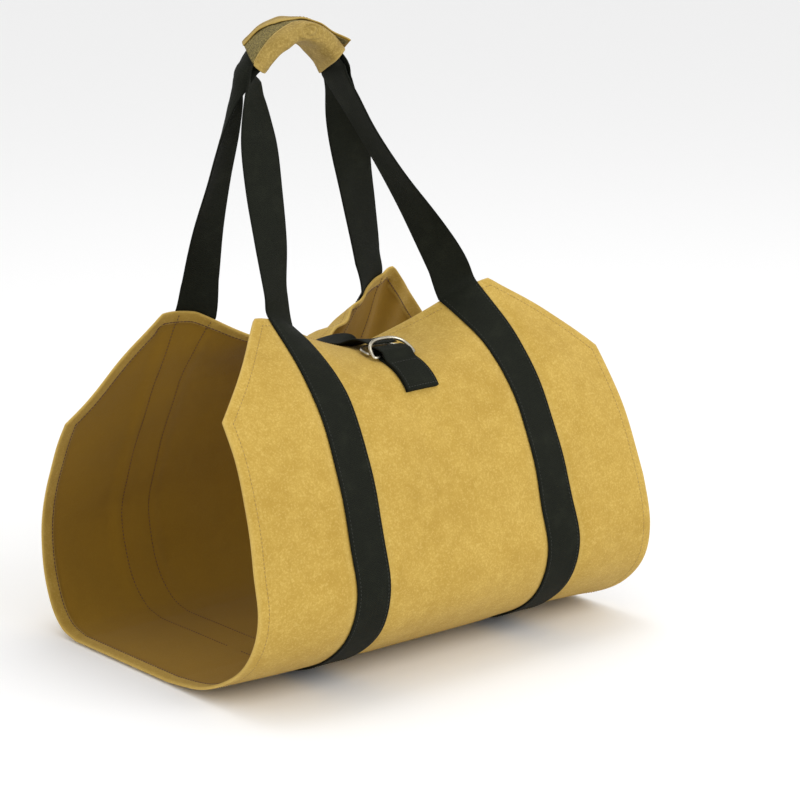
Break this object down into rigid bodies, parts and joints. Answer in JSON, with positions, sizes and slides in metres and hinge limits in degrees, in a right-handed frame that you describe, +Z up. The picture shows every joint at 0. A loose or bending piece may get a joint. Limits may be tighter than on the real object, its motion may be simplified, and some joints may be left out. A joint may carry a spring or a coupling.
{
  "type": "firewood carrier bag",
  "caption": "Open-ended canvas log carrier standing folded up, with webbing handles that run under it, a wrapped canvas grip and a D-ring closure strap.",
  "frame": {"origin": "middle of the ground that the bag stands on, centre of the overall box seen from above", "axes": "+X along the logs, -Y towards the front panel with the rings, +Z up"},
  "size_m": [0.4571, 0.366, 0.5752],
  "materials": {
    "canvas": "waxed heavy cotton canvas, mottled mustard, matt",
    "webbing": "black-green woven webbing, matt",
    "grip_canvas": "waxed canvas, two layers, creased",
    "loop_tape": "olive brown fuzzy loop tape",
    "ring_metal": "plated steel wire, bright"
  },
  "bodies": {
    "root": {"canvas_body": "canvas", "front_webbing": "webbing", "back_webbing": "webbing", "grip_wrap": "grip_canvas", "grip_tape": "loop_tape", "ring_tab": "webbing", "d_ring_upper": "ring_metal", "d_ring_lower": "ring_metal", "closure_strap": "webbing"}
  },
  "joints": []
}
